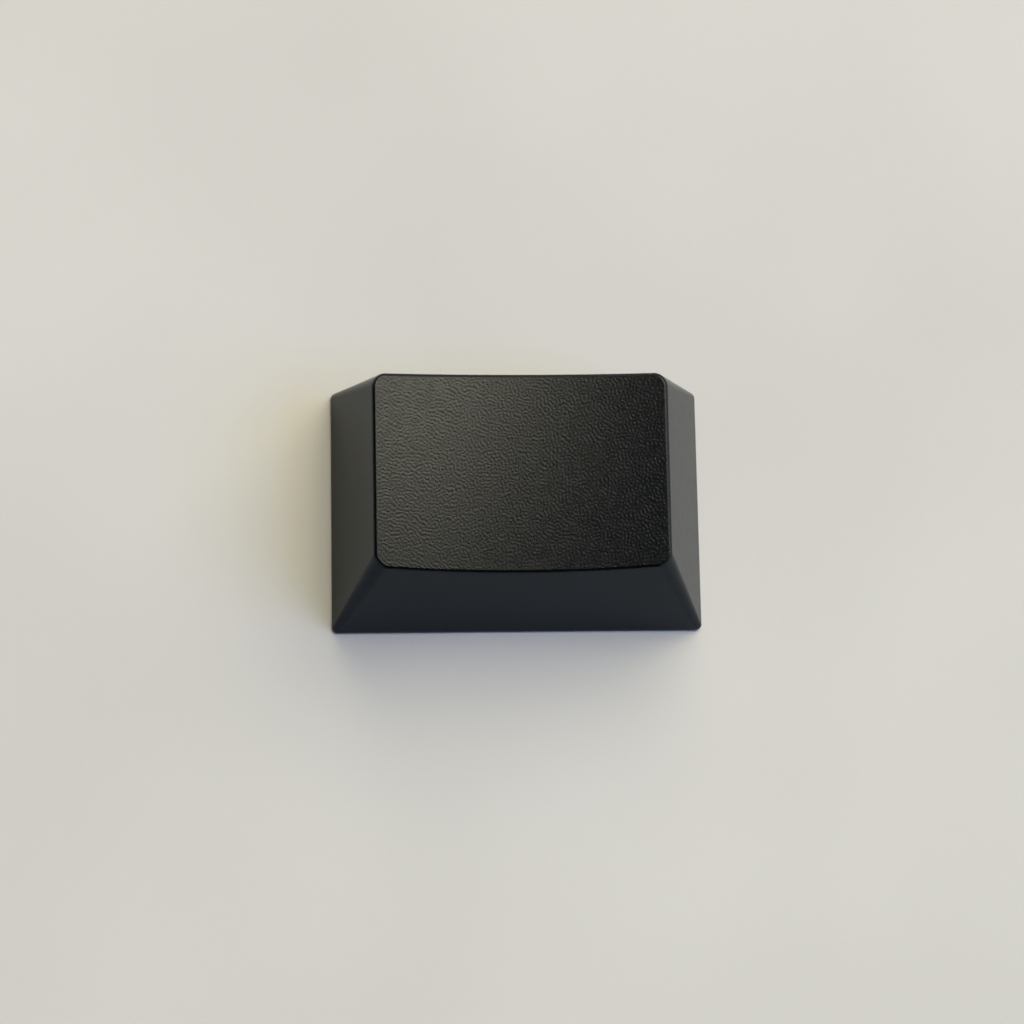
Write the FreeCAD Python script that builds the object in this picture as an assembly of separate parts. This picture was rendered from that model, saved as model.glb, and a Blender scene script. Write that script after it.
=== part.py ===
"""A metal keycap, one and a half key units wide, made as one solid.

The outside is a drafted block with a dished top. The inside is an open-bottomed cavity
with one round stem in the middle, and the stem has a cross-shaped socket for a key switch.

Frame: millimetres, +Z up, +Y towards the back of the keyboard. The origin is on the
stem's axis, in the plane of the bottom rim, which is the middle of the base.
"""

import FreeCAD
import Part

import math
import os

# Outside: the finished size over the base, and the outline that the walls reach at the top
BASE_WIDTH = 27.6
BASE_DEPTH = 18.2
BASE_CORNER_RADIUS = 0.45
TOP_HEIGHT = 7.5
TOP_WIDTH = 21.4
TOP_FRONT_SETBACK = 3.8
TOP_REAR_SETBACK = 0.1
TOP_CORNER_RADIUS = 1.1

# Top face: a shallow trough that runs front to back, with its front edge a little higher
DISH_DEPTH = 0.68
TOP_TILT_DEG = 0.45
TOP_EDGE_RADIUS = 0.25

# Bottom rim
RIM_OUTER_RADIUS = 0.15
RIM_INNER_CHAMFER = 0.2

# Inside: walls measured level, and the top's thickness at the middle of the dish
WALL_THICKNESS = 1.5
TOP_THICKNESS = 1.62
CAVITY_CORNER_RADIUS = 1.2
CEILING_FILLET = 0.6

# Stem and its cross-shaped socket
STEM_DIAMETER = 5.5
STEM_RECESS = 0.5
STEM_ROOT_FILLET = 0.6
STEM_END_CHAMFER = 0.2
CROSS_LENGTH = 4.1
CROSS_WIDTH_ACROSS = 1.3
CROSS_WIDTH_ALONG = 1.17
SOCKET_DEPTH = 4.2
SOCKET_LEAD_IN = 0.15

# Sizes that follow from those above
CEILING_HEIGHT = TOP_HEIGHT - DISH_DEPTH - TOP_THICKNESS
DISH_RADIUS = ((TOP_WIDTH / 2) ** 2 + DISH_DEPTH**2) / (2 * DISH_DEPTH)
TOP_MIDDLE_Y = (TOP_FRONT_SETBACK - TOP_REAR_SETBACK) / 2

# How far a cutting or joining tool runs past the face that it meets
OVERRUN = 1.0

# Two heights nearer than this count as the same
SAME_HEIGHT = 1e-6

# A wedge is made lying on its back, and this turn stands it up
QUARTER_TURN_DEG = 90

ORIGIN = FreeCAD.Vector(0, 0, 0)
ALONG_X = FreeCAD.Vector(1, 0, 0)
UP = FreeCAD.Vector(0, 0, 1)


def point(x, y, z):
    return FreeCAD.Vector(x, y, z)


def rim_allowance(setback):
    """How much the rounded rim takes off a wall's foot, for a wall set back this far at the top."""
    lean = math.atan2(setback, TOP_HEIGHT)
    return RIM_OUTER_RADIUS * ((1 + math.sin(lean)) / math.cos(lean) - 1)


def wall_reach(base_reach, setback, z):
    """How far a wall stands from the stem's axis at height z, on its way from foot to top."""
    foot = base_reach + rim_allowance(setback)
    return foot + (base_reach - setback - foot) * z / TOP_HEIGHT


def walls_at(z, inset):
    """The level rectangle inside the walls at height z: half its width, its front and its rear."""
    half_width = wall_reach(BASE_WIDTH / 2, (BASE_WIDTH - TOP_WIDTH) / 2, z) - inset
    front = -wall_reach(BASE_DEPTH / 2, TOP_FRONT_SETBACK, z) + inset
    rear = wall_reach(BASE_DEPTH / 2, TOP_REAR_SETBACK, z) - inset
    return half_width, front, rear


def corner_radius_at(z):
    """The radius of the upright corners, which grows evenly from the base to the top's outline."""
    return BASE_CORNER_RADIUS + (TOP_CORNER_RADIUS - BASE_CORNER_RADIUS) * z / TOP_HEIGHT


def flat_sided_block(low, low_z, high, high_z):
    """A block with flat sides between two level rectangles, each given as half_width, front, rear."""
    low_half, low_front, low_rear = low
    high_half, high_front, high_rear = high
    start = -low_half, low_z, -low_rear, -high_rear, -high_half
    end = low_half, high_z, -low_front, -high_front, high_half
    lying = Part.makeWedge(*start, *end)
    return lying.rotate(ORIGIN, ALONG_X, QUARTER_TURN_DEG)


def upright_edges(shape):
    return [e for e in shape.Edges if e.BoundBox.ZLength > SAME_HEIGHT]


def level_edges(shape, z):
    """The edges of a shape that lie level at height z."""
    boxes = [(e, e.BoundBox) for e in shape.Edges]
    return [e for e, b in boxes if max(abs(b.ZMin - z), abs(b.ZMax - z)) < SAME_HEIGHT]


def dish_cutter():
    """A long cylinder whose lowest line is the bottom of the dish, tilted with the top."""
    tilt = math.radians(TOP_TILT_DEG)
    along = point(0, math.cos(tilt), -math.sin(tilt))
    square_to_top = point(0, math.sin(tilt), math.cos(tilt))
    dish_middle = point(0, TOP_MIDDLE_Y, TOP_HEIGHT - DISH_DEPTH)
    start = dish_middle + square_to_top * DISH_RADIUS - along * BASE_DEPTH
    return Part.makeCylinder(DISH_RADIUS, 2 * BASE_DEPTH, start, along)


def outside_block():
    """The drafted block with its dished top, rounded at the corners, the top's edge and the base."""
    above_top = TOP_HEIGHT + OVERRUN
    block = flat_sided_block(walls_at(0, 0), 0, walls_at(above_top, 0), above_top)
    block = block.makeFillet(BASE_CORNER_RADIUS, corner_radius_at(above_top), upright_edges(block))
    block = block.cut(dish_cutter())
    dish = max((f for f in block.Faces if isinstance(f.Surface, Part.Cylinder)), key=lambda f: f.Area)
    block = block.makeFillet(TOP_EDGE_RADIUS, dish.Edges)
    return block.makeFillet(RIM_OUTER_RADIUS, level_edges(block, 0))


def cavity():
    """The space inside the walls, open below, rounded at its corners and round its ceiling."""
    mouth = walls_at(-OVERRUN, WALL_THICKNESS)
    ceiling = walls_at(CEILING_HEIGHT, WALL_THICKNESS)
    space = flat_sided_block(mouth, -OVERRUN, ceiling, CEILING_HEIGHT)
    space = space.makeFillet(CAVITY_CORNER_RADIUS, upright_edges(space))
    return space.makeFillet(CEILING_FILLET, level_edges(space, CEILING_HEIGHT))


def shell():
    """The hollow cap without its stem, with the rim's inner edge chamfered."""
    hollow = outside_block().cut(cavity())
    rim = min(hollow.Faces, key=lambda f: f.CenterOfMass.z)
    inner_edges = [e for w in rim.Wires if not w.isSame(rim.OuterWire) for e in w.Edges]
    return hollow.makeChamfer(RIM_INNER_CHAMFER, inner_edges)


def stem():
    """The round stem, turned from its half section, with a flared root that runs into the top."""
    radius = STEM_DIAMETER / 2
    root_top = CEILING_HEIGHT + TOP_THICKNESS / 2
    root_radius = radius + STEM_ROOT_FILLET
    arc_inset = STEM_ROOT_FILLET * (1 - math.sqrt(0.5))
    flare_start = point(radius, 0, CEILING_HEIGHT - STEM_ROOT_FILLET)
    flare_middle = point(radius + arc_inset, 0, CEILING_HEIGHT - arc_inset)
    flare_end = point(root_radius, 0, CEILING_HEIGHT)
    before_flare = [
        point(0, 0, root_top),
        point(0, 0, STEM_RECESS),
        point(radius - STEM_END_CHAMFER, 0, STEM_RECESS),
        point(radius, 0, STEM_RECESS + STEM_END_CHAMFER),
        flare_start,
    ]
    after_flare = [flare_end, point(root_radius, 0, root_top), point(0, 0, root_top)]
    flare = Part.Arc(flare_start, flare_middle, flare_end).toShape()
    below, above = Part.makePolygon(before_flare), Part.makePolygon(after_flare)
    section = Part.Wire([*below.Edges, flare, *above.Edges])
    return Part.Face(section).revolve(ORIGIN, UP, 360)


def socket_slot(length_x, length_y):
    """One arm of the cross: a straight slot up into the stem, with a lead-in at its mouth."""
    half_x, half_y = length_x / 2, length_y / 2
    throat_z = STEM_RECESS + SOCKET_LEAD_IN
    throat = half_x, -half_y, half_y
    mouth = half_x + SOCKET_LEAD_IN, -half_y - SOCKET_LEAD_IN, half_y + SOCKET_LEAD_IN
    lead_in = flat_sided_block(mouth, STEM_RECESS, throat, throat_z)
    return lead_in.fuse(flat_sided_block(throat, throat_z, throat, STEM_RECESS + SOCKET_DEPTH))


def socket():
    """The cross-shaped socket, from the stem's end upwards."""
    across = socket_slot(CROSS_LENGTH, CROSS_WIDTH_ACROSS)
    along = socket_slot(CROSS_WIDTH_ALONG, CROSS_LENGTH)
    return across.fuse(along)


def keycap():
    return shell().fuse(stem()).cut(socket()).removeSplitter()


def main():
    os.makedirs("parts", exist_ok=True)
    shape = keycap()
    solid = shape.Solids[0]
    box = solid.optimalBoundingBox(False)
    print("solids", len(shape.Solids), "valid", solid.isValid(), "volume", round(solid.Volume, 2))
    print("overall", round(box.XLength, 3), round(box.YLength, 3), round(box.ZLength, 3))
    solid.exportStep("parts/keycap.step")


main()
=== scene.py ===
"""The looks of a satin black metal keycap: a grained dished top, smooth walls, a hollow underside."""

import math

import bmesh
import bpy
import numpy as np
from mathutils import Matrix, Vector


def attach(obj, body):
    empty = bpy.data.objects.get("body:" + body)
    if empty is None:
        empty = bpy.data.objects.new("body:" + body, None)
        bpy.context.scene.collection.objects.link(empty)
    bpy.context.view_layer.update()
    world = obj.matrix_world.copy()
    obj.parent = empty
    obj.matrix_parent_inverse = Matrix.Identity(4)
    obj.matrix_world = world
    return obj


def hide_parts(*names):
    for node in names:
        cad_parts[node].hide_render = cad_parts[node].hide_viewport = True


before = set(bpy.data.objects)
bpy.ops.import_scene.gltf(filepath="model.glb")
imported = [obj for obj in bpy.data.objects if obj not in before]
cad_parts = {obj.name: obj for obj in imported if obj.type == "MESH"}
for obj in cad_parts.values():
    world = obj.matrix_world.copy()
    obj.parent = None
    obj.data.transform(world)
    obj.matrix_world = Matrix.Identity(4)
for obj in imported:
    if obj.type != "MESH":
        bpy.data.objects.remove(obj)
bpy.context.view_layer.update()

MM = 0.001

# The cap in millimetres, as in the solid
BASE_WIDTH, BASE_DEPTH, BASE_CORNER = 27.6, 18.2, 0.45
TOP_HEIGHT, TOP_WIDTH, TOP_CORNER = 7.5, 21.4, 1.1
FRONT_SETBACK, REAR_SETBACK = 3.8, 0.1
DISH_DEPTH, TOP_TILT = 0.68, math.radians(0.45)
TOP_EDGE, RIM_EDGE = 0.25, 0.15
WALL, TOP_THICKNESS = 1.5, 1.62

# Sizes that follow from those above
SIDE_SETBACK = (BASE_WIDTH - TOP_WIDTH) / 2
DISH_RADIUS = ((TOP_WIDTH / 2) ** 2 + DISH_DEPTH**2) / (2 * DISH_DEPTH)
TOP_MIDDLE_Y = (FRONT_SETBACK - REAR_SETBACK) / 2
CEILING = TOP_HEIGHT - DISH_DEPTH - TOP_THICKNESS

# How finely the outside is divided: cells along the front, along a side and round a corner
ACROSS, ALONG, ROUND = 336, 192, 18
SIDE = ALONG + 2 * ROUND

# Steps round the bottom rim and over the top's edge, and how many of the last have the edge's coat,
# painted blacker as painted shade
RIM_STEPS, LIP_STEPS, EDGE_STEPS = 3, 6, 4

# Where rings lie on the walls, as shares of the way up
WALL_SHARES = (0.02, 0.35, 0.65, 0.98)

# The short way over which a slope is measured, and the rounds in which the edge's height settles
SLOPE_STEP = 0.01
EDGE_ROUNDS = 20

# The solid's own faces on the underside: room above the ceiling, and what counts as level with the rim
CEILING_MARGIN = 0.5
RIM_LEVEL = 0.001

# Points nearer than this are one, in metres, and edges sharper than this stay sharp
SAME_POINT = 1e-8
SHARP_ANGLE = math.radians(40)

# The grain of the top in millimetres: pitch, height of the ridges, and fade towards the edge
GRAIN_PITCH, GRAIN_HEIGHT, GRAIN_FADE = 0.265, 0.0027, 0.2
GRAIN_SEED = 11
CELLS_PER_PITCH = 10

# The width of the grain's band of frequencies, and how firmly the ridges are squared off
BAND_WIDTH = 0.24
RIDGE_GAIN = 1.5

# At the left the ridges run mostly one way: the turn of their crests from level, and their spread
CREST_TURN, CREST_SPREAD = math.radians(-30), 0.85

# Where they give way to broken ones: the share across, how far it drifts, its softness, and the
# size in millimetres over which it drifts
CHANGE_PLACE, CHANGE_DRIFT, CHANGE_SOFTNESS = 0.26, 0.10, 0.07
DRIFT_SIZE = 5.0

# Slow waves that bend the ridges: height in millimetres, and waves per millimetre with their spread
WAVE_HEIGHT, WAVE_FREQUENCY, WAVE_SPREAD = 0.04, 1.0, 0.5

# The grain's strength at the left end, its loss towards the middle, and its gain at the right end
LEFT_STRENGTH, MIDDLE_LOSS, RIGHT_GAIN, RIGHT_POWER = 1.08, 0.95, 0.75, 4

# The share by which the rear is stronger at the left end, and how that falls from left to right
REAR_GAIN, REAR_FALL = 0.36, 0.66

# Keeps a raster's sample inside its last cell, and a frequency off zero
LAST_CELL = 1.001
TINY = 1e-9

# The groups of faces, in the order of their coats
TOP_FACES, WALL_FACES, INSIDE_FACES, EDGE_FACES = range(4)

# The part of a noise texture's values that spreads over the range asked for
NOISE_LOW, NOISE_HIGH = 0.3, 0.7

# The floor in metres: its flat part, then a cove with its reach, its rise and its turns in degrees
FLOOR_RADIUS, COVE_REACH, COVE_RISE = 0.45, 0.45, 0.42
COVE_TURNS = range(0, 65, 5)
FLOOR_SEGMENTS = 96

# How far the soft lights are from the cap, in metres
SOFTBOX_DISTANCE = 1.5

# The camera of the photo, fitted to the cap's outline: turns in degrees, where the camera sees the
# base's middle in millimetres, and the focal length and the width of the picture in pixels
CAMERA_TURN_X, CAMERA_TURN_Y, CAMERA_TURN_Z = -9.992, 3.998, 0.323
BASE_SEEN_AT = (0.253, 0.020, -182.77)
FOCAL_LENGTH_PX, PHOTO_WIDTH_PX = 2432.9, 1024
SENSOR_WIDTH = 36.0
CLIP_START = 0.005


def rim_allowance(setback):
    """How much the rounded rim takes off a wall's foot."""
    lean = math.atan2(setback, TOP_HEIGHT)
    return RIM_EDGE * ((1 + math.sin(lean)) / math.cos(lean) - 1)


def reach(base, setback, z):
    """How far a wall stands from the middle at height z."""
    foot = base + rim_allowance(setback)
    return foot + (base - setback - foot) * z / TOP_HEIGHT


def walls_at(z):
    """Half width, front, rear and corner radius of the walls' outline at height z."""
    return (
        reach(BASE_WIDTH / 2, SIDE_SETBACK, z),
        -reach(BASE_DEPTH / 2, FRONT_SETBACK, z),
        reach(BASE_DEPTH / 2, REAR_SETBACK, z),
        BASE_CORNER + (TOP_CORNER - BASE_CORNER) * z / TOP_HEIGHT,
    )


def perimeter():
    """Places round the outline, anticlockwise from the front's left end: the share across (-1 to 1)
    and along (0 to 1) of the corner centre that each belongs to, and the way it faces."""
    quarter = np.linspace(0, math.pi / 2, ROUND, endpoint=False)
    across = np.linspace(-1, 1, ACROSS, endpoint=False)
    along = np.linspace(0, 1, ALONG, endpoint=False)
    stretches = [
        (across, np.zeros(ACROSS), np.full(ACROSS, -math.pi / 2)),
        (np.ones(ROUND), np.zeros(ROUND), quarter - math.pi / 2),
        (np.ones(ALONG), along, np.zeros(ALONG)),
        (np.ones(ROUND), np.ones(ROUND), quarter),
        (-across, np.ones(ACROSS), np.full(ACROSS, math.pi / 2)),
        (-np.ones(ROUND), np.ones(ROUND), quarter + math.pi / 2),
        (-np.ones(ALONG), 1 - along, np.full(ALONG, math.pi)),
        (-np.ones(ROUND), np.zeros(ROUND), quarter + math.pi),
    ]
    return [np.concatenate(parts) for parts in zip(*stretches)]


SHARE_X, SHARE_Y, FACING = perimeter()
OUT = np.stack([np.cos(FACING), np.sin(FACING)], axis=1)
COUNT = len(FACING)


def outline(z):
    """The walls' outline at height z, one point for each place round the perimeter."""
    half, front, rear, radius = walls_at(z)
    x = SHARE_X * (half - radius)
    y = front + radius + SHARE_Y * (rear - front - 2 * radius)
    return np.stack([x, y], axis=1) + OUT * np.reshape(radius, (-1, 1))


def dish_height(x, y):
    """The height of the dished top over a place."""
    axis_y = TOP_MIDDLE_Y + DISH_RADIUS * math.sin(TOP_TILT)
    axis_z = TOP_HEIGHT - DISH_DEPTH + DISH_RADIUS * math.cos(TOP_TILT)
    drop = np.sqrt(DISH_RADIUS**2 - x**2) + (y - axis_y) * math.sin(TOP_TILT)
    return axis_z - drop / math.cos(TOP_TILT)


def rounded(corner, first, second, radius, steps):
    """Points of a rounding in each upright section, from its touch on the first side to the second.
    corner is (outward, up); first and second are unit directions that leave the corner."""
    cosine = np.sum(first * second, axis=1)
    half_angle = np.arccos(cosine) / 2
    middle = first + second
    middle /= np.linalg.norm(middle, axis=1, keepdims=True)
    centre = corner + middle * (radius / np.sin(half_angle))[:, None]
    touch = (radius / np.tan(half_angle))[:, None]
    start = (corner + first * touch - centre) / radius
    end = (corner + second * touch - centre) / radius
    turn = np.arccos(np.clip(np.sum(start * end, axis=1), -1, 1))
    rows = []
    for share in np.linspace(0, 1, steps + 1):
        mixed = start * np.sin((1 - share) * turn)[:, None] + end * np.sin(share * turn)[:, None]
        rows.append(centre + radius * mixed / np.sin(turn)[:, None])
    return rows


def unit(outward, up):
    """Unit directions in the upright sections."""
    direction = np.stack([outward, up], axis=1)
    return direction / np.linalg.norm(direction, axis=1, keepdims=True)


def placed(base, section):
    """Points in space from points (outward, up) in the upright sections over a base outline."""
    return np.column_stack([base + OUT * section[:, :1], section[:, 1]])


def top_edge():
    """Where the walls meet the dished top: the outline, its heights and the dish's outward slope."""
    heights = np.full(COUNT, TOP_HEIGHT)
    for _ in range(EDGE_ROUNDS):
        edge = outline(heights)
        heights = dish_height(edge[:, 0], edge[:, 1])
    edge = outline(heights)
    ahead = edge + OUT * SLOPE_STEP
    slope = (dish_height(ahead[:, 0], ahead[:, 1]) - heights) / SLOPE_STEP
    return edge, heights, slope


def outside_rings():
    """Rings of points from the rim's flat, round the rim, up the walls and over the top's edge."""
    one, none = np.ones(COUNT), np.zeros(COUNT)
    foot = outline(0.0)
    lean = -np.sum((outline(SLOPE_STEP) - foot) * OUT, axis=1) / SLOPE_STEP
    edge, edge_z, slope = top_edge()
    at_foot, at_edge = np.column_stack([none, none]), np.column_stack([none, edge_z])
    rim_sections = rounded(at_foot, unit(-one, none), unit(-lean, one), RIM_EDGE, RIM_STEPS)
    lip_sections = rounded(at_edge, unit(lean, -one), unit(-one, -slope), TOP_EDGE, LIP_STEPS)
    rim = [placed(foot, section) for section in rim_sections]
    lip = [placed(edge, section) for section in lip_sections]
    wall = [rim[-1] + (lip[0] - rim[-1]) * share for share in WALL_SHARES]
    return [*rim, *wall, *lip]


def sampled(raster, spacing, x, y):
    """The raster's value at places, by straight mixing of the four nearest."""
    u, v = x / spacing, y / spacing
    i, j = u.astype(int), v.astype(int)
    s, t = u - i, v - j
    near = raster[j, i] * (1 - s) + raster[j, i + 1] * s
    far = raster[j + 1, i] * (1 - s) + raster[j + 1, i + 1] * s
    return near * (1 - t) + far * t


def grain_strength(columns, rows):
    """The grain's strength over its raster: least in the middle, most at the right end, with more of
    it at the rear on the left and at the front on the right."""
    across = np.linspace(0, 1, columns)[None, :]
    rearward = np.linspace(-1, 1, rows)[:, None]
    strength = LEFT_STRENGTH - MIDDLE_LOSS * across * (1 - across) + RIGHT_GAIN * across**RIGHT_POWER
    return strength * (1 + (REAR_GAIN - REAR_FALL * across) * rearward)


def grain_field(size_x, size_y):
    """A raster of fine ridges and its spacing: short wavy ridges that run mostly one way at the left,
    and broken ones without direction elsewhere."""
    spacing = GRAIN_PITCH / CELLS_PER_PITCH
    columns, rows = int(size_x / spacing) + 2, int(size_y / spacing) + 2
    fx = np.fft.fftfreq(columns, spacing)[None, :]
    fy = np.fft.fftfreq(rows, spacing)[:, None]
    frequency = np.hypot(fx, fy) + TINY
    random = np.random.default_rng(GRAIN_SEED)

    def shaped(kept):
        """Noise of unit spread with only the kept share of each frequency."""
        spectrum = np.fft.fft2(random.standard_normal((rows, columns)))
        raster = np.real(np.fft.ifft2(spectrum * kept))
        return raster / raster.std()

    band = np.exp(-(((frequency * GRAIN_PITCH - 1) / BAND_WIDTH) ** 2))
    along_crest = (fx * math.cos(CREST_TURN) + fy * math.sin(CREST_TURN)) / frequency
    slanting = shaped(band * np.exp(-((along_crest / CREST_SPREAD) ** 2)))
    broken = shaped(band)
    drift = shaped(np.exp(-((frequency * DRIFT_SIZE) ** 2)))
    across = np.linspace(0, 1, columns)[None, :]
    mix = 1 / (1 + np.exp(-(across - CHANGE_PLACE + CHANGE_DRIFT * drift) / CHANGE_SOFTNESS))
    ridges = np.tanh(RIDGE_GAIN * (slanting * np.sqrt(1 - mix) + broken * np.sqrt(mix)))
    ridges = grain_strength(columns, rows) * ridges
    waves = WAVE_HEIGHT * shaped(np.exp(-(((frequency - WAVE_FREQUENCY) / WAVE_SPREAD) ** 2)))
    row, column = np.mgrid[0:rows, 0:columns].astype(float)
    row = np.clip(row + waves / spacing, 0, rows - LAST_CELL)
    return sampled(ridges, 1.0, np.minimum(column, columns - LAST_CELL), row), spacing


def spanned(ring):
    """A grid of points spanned between the four sides of a ring, in rows from front to rear."""
    closed = np.vstack([ring, ring[:1]])
    front = closed[: ACROSS + 1]
    right = closed[ACROSS : ACROSS + SIDE + 1]
    rear = closed[ACROSS + SIDE : 2 * ACROSS + SIDE + 1][::-1]
    left = closed[2 * ACROSS + SIDE :][::-1]
    u = np.linspace(0, 1, ACROSS + 1)[None, :, None]
    v = ((right[:, 1] - right[0, 1]) / (right[-1, 1] - right[0, 1]))[:, None, None]
    grid = (1 - v) * front[None] + v * rear[None] + (1 - u) * left[:, None] + u * right[:, None]
    front_corners = (1 - u) * front[0] + u * front[-1]
    rear_corners = (1 - u) * rear[0] + u * rear[-1]
    return grid - (1 - v) * front_corners - v * rear_corners


def top_grid(ring):
    """The grained top inside the last ring, as rows of points from front to rear."""
    grid = spanned(ring)
    x, y = grid[..., 0], grid[..., 1]
    low, high = ring.min(axis=0), ring.max(axis=0)
    raster, spacing = grain_field(high[0] - low[0], high[1] - low[1])
    ridges = sampled(raster, spacing, np.maximum(x - low[0], 0), np.maximum(y - low[1], 0))
    inside = np.minimum(np.minimum(x - low[0], high[0] - x), np.minimum(y - low[1], high[1] - y))
    fade = np.clip(inside / GRAIN_FADE, 0, 1)
    grid[1:-1, 1:-1, 2] = dish_height(x, y)[1:-1, 1:-1]
    grid[..., 2] += GRAIN_HEIGHT * ridges * fade * fade * (3 - 2 * fade)
    return grid


def underside_faces(node):
    """The solid's points in metres, and its faces inside the rim's flat: the cavity and the stem."""
    mesh = node.data
    points = np.array([v.co for v in mesh.vertices])
    corners = np.array([p.vertices[:] for p in mesh.polygons])
    places = points[corners] / MM
    middle = places.mean(axis=1)
    half, front, rear, _ = walls_at(middle[:, 2])
    inner = (np.abs(middle[:, 0]) < half - WALL / 2) & (middle[:, 1] > front + WALL / 2)
    inner &= (middle[:, 1] < rear - WALL / 2) & (middle[:, 2] < CEILING + CEILING_MARGIN)
    flat = np.abs(places[:, :, 2]).max(axis=1) < RIM_LEVEL
    return points, corners[inner & ~flat]


def top_index(ring_count):
    """The number of each point of the top's grid, which shares its border with the last ring, and
    which of them are inside that border."""
    rows, columns = SIDE + 1, ACROSS + 1
    last = (ring_count - 1) * COUNT
    index = np.full((rows, columns), -1)
    index[0, :] = last + np.arange(columns)
    index[:, -1] = last + ACROSS + np.arange(rows)
    index[-1, :] = last + ACROSS + SIDE + np.arange(columns)[::-1]
    index[:, 0] = last + (2 * ACROSS + SIDE + np.arange(rows)[::-1]) % COUNT
    inside = index < 0
    index[inside] = ring_count * COUNT + np.arange(inside.sum())
    return index, inside


def band_faces(ring_count):
    """Faces between each ring and the next, from the rim to the top's edge."""
    start = np.arange(COUNT)
    after = (start + 1) % COUNT
    bands = []
    for ring in range(ring_count - 1):
        here, there = ring * COUNT, (ring + 1) * COUNT
        bands.append(np.stack([here + start, here + after, there + after, there + start], axis=1))
    return np.vstack(bands)


def cell_faces(index):
    """Faces of the top's grid."""
    corners = [index[:-1, :-1], index[:-1, 1:], index[1:, 1:], index[1:, :-1]]
    return np.stack(corners, axis=-1).reshape(-1, 4)


def close_shell(mesh):
    """Drops unused points, joins equal ones, fills the rim's flat and turns every face outwards."""
    work = bmesh.new()
    work.from_mesh(mesh)
    bmesh.ops.delete(work, geom=[v for v in work.verts if not v.link_faces], context="VERTS")
    bmesh.ops.remove_doubles(work, verts=work.verts, dist=SAME_POINT)
    borders = [e for e in work.edges if e.is_boundary]
    flat = bmesh.ops.triangle_fill(work, edges=borders, use_beauty=True)
    for face in flat["geom"]:
        if isinstance(face, bmesh.types.BMFace):
            face.material_index = INSIDE_FACES
    bmesh.ops.recalc_face_normals(work, faces=work.faces)
    work.to_mesh(mesh)
    work.free()


def build_cap():
    """The cap as one closed mesh: the outside, the grained top, and the solid's own underside."""
    rings = outside_rings()
    index, inside = top_index(len(rings))
    outside_points = np.vstack([*rings, top_grid(rings[-1])[inside]]) * MM
    under_points, under_corners = underside_faces(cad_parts["keycap"])
    bands, cells = band_faces(len(rings)), cell_faces(index)
    points = np.vstack([outside_points, under_points]).tolist()
    quads = np.vstack([bands, cells]).tolist()
    under_faces = (under_corners + len(outside_points)).tolist()
    mesh = bpy.data.meshes.new("keycap_body")
    mesh.from_pydata(points, [], quads + under_faces)
    groups = np.full(len(mesh.polygons), INSIDE_FACES, dtype=np.int32)
    groups[: len(quads)] = TOP_FACES
    groups[: len(bands)] = EDGE_FACES
    groups[: len(bands) - EDGE_STEPS * COUNT] = WALL_FACES
    mesh.polygons.foreach_set("material_index", groups)
    close_shell(mesh)
    mesh.shade_smooth()
    mesh.set_sharp_from_angle(angle=SHARP_ANGLE)
    cap = bpy.data.objects.new("keycap_body", mesh)
    bpy.context.scene.collection.objects.link(cap)
    weighted = cap.modifiers.new("even_normals", "WEIGHTED_NORMAL")
    weighted.keep_sharp = True
    return cap


class Nodes:
    """A material's node tree, with short calls to add and link nodes."""

    def __init__(self, name):
        self.material = bpy.data.materials.new(name)
        self.material.use_nodes = True
        self.tree = self.material.node_tree
        self.shader = self.tree.nodes["Principled BSDF"]

    def add(self, kind, values=()):
        """A new node with values set on its inputs, given as pairs of name and value."""
        node = self.tree.nodes.new(kind)
        for name, value in values:
            node.inputs[name].default_value = value
        return node

    def link(self, source, target):
        self.tree.links.new(source, target)

    def noise(self, scale, detail):
        """Noise in object space, with features of about 1 / scale metres."""
        where = self.add("ShaderNodeTexCoord")
        texture = self.add("ShaderNodeTexNoise", [("Scale", scale), ("Detail", detail)])
        self.link(where.outputs["Object"], texture.inputs["Vector"])
        return texture.outputs["Fac"]

    def between(self, value, low, high):
        """A value that goes from low to high with a noise."""
        noise_range = [("From Min", NOISE_LOW), ("From Max", NOISE_HIGH)]
        spread = self.add("ShaderNodeMapRange", [*noise_range, ("To Min", low), ("To Max", high)])
        self.link(value, spread.inputs["Value"])
        return spread.outputs["Result"]

    def ramp(self, value, dark, pale):
        """A colour that goes from dark to pale with a noise."""
        ramp = self.add("ShaderNodeValToRGB")
        first, last = ramp.color_ramp.elements
        first.position, last.position = NOISE_LOW, NOISE_HIGH
        first.color, last.color = (*dark, 1), (*pale, 1)
        self.link(value, ramp.inputs["Fac"])
        return ramp.outputs["Color"]


def coat(name, dark, pale, ior, tint, roughness, bump_scale, bump_depth):
    """A satin black coat: faint colour and gloss variation, and a very fine surface."""
    colour_scale, gloss_scale, fine_detail, bump_detail = 900, 1500, 4, 2
    nodes = Nodes(name)
    shader = nodes.shader
    shader.inputs["IOR"].default_value = ior
    shader.inputs["Specular Tint"].default_value = (*tint, 1)
    colour = nodes.ramp(nodes.noise(colour_scale, fine_detail), dark, pale)
    nodes.link(colour, shader.inputs["Base Color"])
    gloss = nodes.between(nodes.noise(gloss_scale, fine_detail), *roughness)
    nodes.link(gloss, shader.inputs["Roughness"])
    bump = nodes.add("ShaderNodeBump", [("Strength", 1.0), ("Distance", bump_depth)])
    nodes.link(nodes.noise(bump_scale, bump_detail), bump.inputs["Height"])
    nodes.link(bump.outputs["Normal"], shader.inputs["Normal"])
    return nodes.material


def grained_top():
    return coat(
        "grained_top",
        dark=(0.0040, 0.0052, 0.0068),
        pale=(0.0060, 0.0072, 0.0088),
        ior=1.45,
        tint=(1.0, 1.0, 1.0),
        roughness=(0.19, 0.25),
        bump_scale=9000,
        bump_depth=0.000004,
    )


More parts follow.
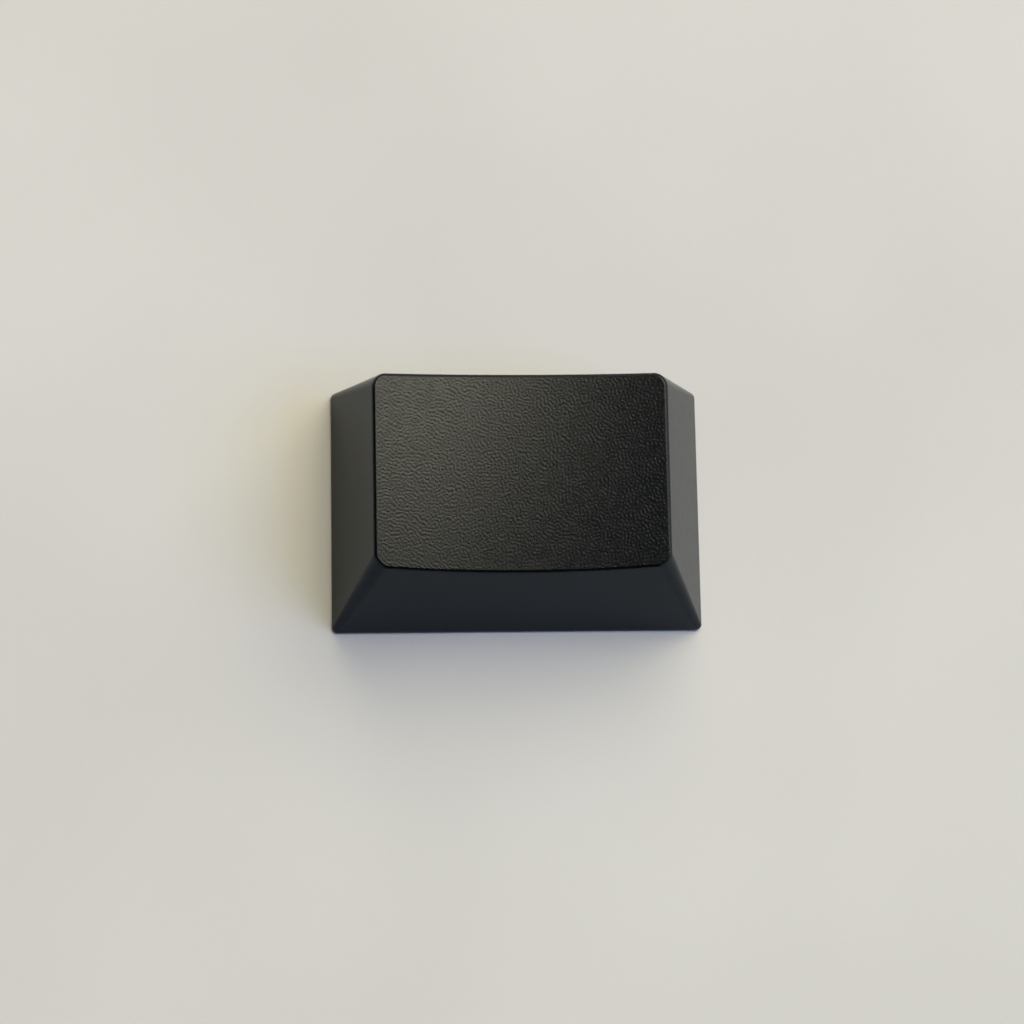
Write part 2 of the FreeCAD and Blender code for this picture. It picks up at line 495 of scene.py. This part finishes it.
def satin_wall():
    """The walls' coat, whose gloss is cool where it is seen straight on."""
    return coat(
        "satin_wall",
        dark=(0.003, 0.004, 0.005),
        pale=(0.005, 0.006, 0.007),
        ior=1.335,
        tint=(0.38, 0.62, 0.96),
        roughness=(0.17, 0.23),
        bump_scale=12000,
        bump_depth=0.000002,
    )


def satin_inside():
    """The duller coat of the rim's flat, the cavity and the stem."""
    return coat(
        "satin_inside",
        dark=(0.003, 0.004, 0.005),
        pale=(0.005, 0.006, 0.007),
        ior=1.40,
        tint=(0.9, 1.0, 1.1),
        roughness=(0.44, 0.54),
        bump_scale=9000,
        bump_depth=0.000003,
    )


def painted_dark_edge():
    """The coat of the top's rounded edge, the blackest: painted shade, darker than the walls to deepen
    the dark line that the dark room leaves in the edge's gloss.
    """
    return coat(
        "painted_dark_edge",
        # painted shade: a blacker colour than the walls', to deepen the dark line along the top's edge
        dark=(0.0015, 0.0016, 0.0018),
        pale=(0.0022, 0.0023, 0.0025),
        ior=1.45,
        tint=(1.0, 1.0, 1.0),
        roughness=(0.18, 0.24),
        bump_scale=12000,
        bump_depth=0.000002,
    )


def floor_paper():
    """Pale dull paper with faint broad lighter and darker patches, painted light and shade that stand
    in for the paper's soft undulations.
    """
    patch_scale, patch_detail = 22, 2
    nodes = Nodes("floor_paper")
    shader = nodes.shader
    shader.inputs["Roughness"].default_value = 0.9
    shader.inputs["Specular IOR Level"].default_value = 0.1
    # painted light and shade: broad patches in the paper's colour stand in for its soft undulations
    patches = nodes.noise(patch_scale, patch_detail)
    colour = nodes.ramp(patches, dark=(0.70, 0.69, 0.65), pale=(0.77, 0.76, 0.72))
    nodes.link(colour, shader.inputs["Base Color"])
    return nodes.material


def build_floor():
    """A pale round floor that curves up into a low wall, far from the cap."""
    points, faces = [(0.0, 0.0, 0.0)], []
    for degrees in COVE_TURNS:
        turn = math.radians(degrees)
        radius = FLOOR_RADIUS + COVE_REACH * math.sin(turn)
        height = COVE_RISE * (1 - math.cos(turn))
        for step in range(FLOOR_SEGMENTS):
            angle = 2 * math.pi * step / FLOOR_SEGMENTS
            points.append((radius * math.cos(angle), radius * math.sin(angle), height))
    for step in range(FLOOR_SEGMENTS):
        following = (step + 1) % FLOOR_SEGMENTS
        faces.append((0, 1 + step, 1 + following))
        for ring in range(len(COVE_TURNS) - 1):
            low, high = 1 + ring * FLOOR_SEGMENTS, 1 + (ring + 1) * FLOOR_SEGMENTS
            faces.append((low + following, low + step, high + step, high + following))
    mesh = bpy.data.meshes.new("floor")
    mesh.from_pydata(points, [], faces)
    mesh.shade_smooth()
    floor = bpy.data.objects.new("floor", mesh)
    bpy.context.scene.collection.objects.link(floor)
    mesh.materials.append(floor_paper())


def softbox(name, azimuth, elevation, half_angles, radiance, colour):
    """A soft light whose place and half width and height are angles in degrees, as the cap sees them.
    Azimuth 0 is to the right and 90 is behind."""
    half_width, half_height = (math.tan(math.radians(angle)) for angle in half_angles)
    light = bpy.data.lights.new(name, "AREA")
    light.shape = "RECTANGLE"
    light.size = 2 * SOFTBOX_DISTANCE * half_width
    light.size_y = 2 * SOFTBOX_DISTANCE * half_height
    light.energy = radiance * math.pi * light.size * light.size_y
    light.color = colour
    lamp = bpy.data.objects.new(name, light)
    up, around = math.radians(elevation), math.radians(azimuth)
    lamp.location = (math.cos(up) * math.cos(around), math.cos(up) * math.sin(around), math.sin(up))
    lamp.location *= SOFTBOX_DISTANCE
    lamp.rotation_mode = "QUATERNION"
    lamp.rotation_quaternion = lamp.location.to_track_quat("Z", "Y")
    lamp.visible_camera = False
    bpy.context.scene.collection.objects.link(lamp)
    return lamp


def build_lights():
    """Three lights that light the floor and the cap, but don't show in the cap's gloss."""
    lights = [
        softbox("rear_window", 66, 28, (36, 17), radiance=3.9, colour=(1.0, 0.94, 0.75)),
        softbox("upper_window", 52, 60, (24, 12), radiance=4.65, colour=(1.0, 0.93, 0.73)),
        softbox("cool_side", -5, 38, (18, 14), radiance=4.2, colour=(0.32, 0.49, 1.0)),
    ]
    for light in lights:
        light.visible_glossy = False


def build_panels():
    """Panels that show only in gloss. None is straight to the left or in front, so that the top's
    edges there stay black, as in the photo."""
    white, warm = (1.0, 1.0, 1.0), (1.0, 0.95, 0.88)
    panels = [
        softbox("upper_panel", 64, 67.8, (9.4, 6.4), radiance=5.15, colour=(1.0, 0.96, 0.74)),
        softbox("right_panel", 20, 45, (22, 18), radiance=1.5, colour=white),
        softbox("rear_panel", 84, 38, (22, 16), radiance=0.9, colour=white),
    ]
    for azimuth in (128, 222, 318):
        panels.append(softbox(f"panel_{azimuth}", azimuth, 26, (26, 15), radiance=0.75, colour=warm))
    for panel in panels:
        panel.visible_diffuse = False


def build_room():
    """A dark room round the cap."""
    world = bpy.data.worlds.new("room")
    world.use_nodes = True
    world.node_tree.nodes["Background"].inputs["Color"].default_value = (0.014, 0.018, 0.026, 1)
    bpy.context.scene.world = world


def build_camera():
    """The camera of the photo, from how it sees the base's middle."""
    turn = Matrix.Rotation(math.radians(CAMERA_TURN_Z), 3, "Z")
    turn = turn @ Matrix.Rotation(math.radians(CAMERA_TURN_Y), 3, "Y")
    turn = turn @ Matrix.Rotation(math.radians(CAMERA_TURN_X), 3, "X")
    back = turn.transposed()
    place = -(back @ (Vector(BASE_SEEN_AT) * MM))
    data = bpy.data.cameras.new("camera")
    data.sensor_width = SENSOR_WIDTH
    data.lens = SENSOR_WIDTH * FOCAL_LENGTH_PX / PHOTO_WIDTH_PX
    data.clip_start = CLIP_START
    camera = bpy.data.objects.new("camera", data)
    camera.matrix_world = Matrix.Translation(place) @ back.to_4x4()
    bpy.context.scene.collection.objects.link(camera)
    bpy.context.scene.camera = camera


cap = build_cap()
for material in (grained_top(), satin_wall(), satin_inside(), painted_dark_edge()):
    cap.data.materials.append(material)
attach(cap, "root")
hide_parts("keycap")

build_floor()
build_lights()
build_panels()
build_room()
build_camera()
bpy.context.scene.view_settings.view_transform = "Standard"
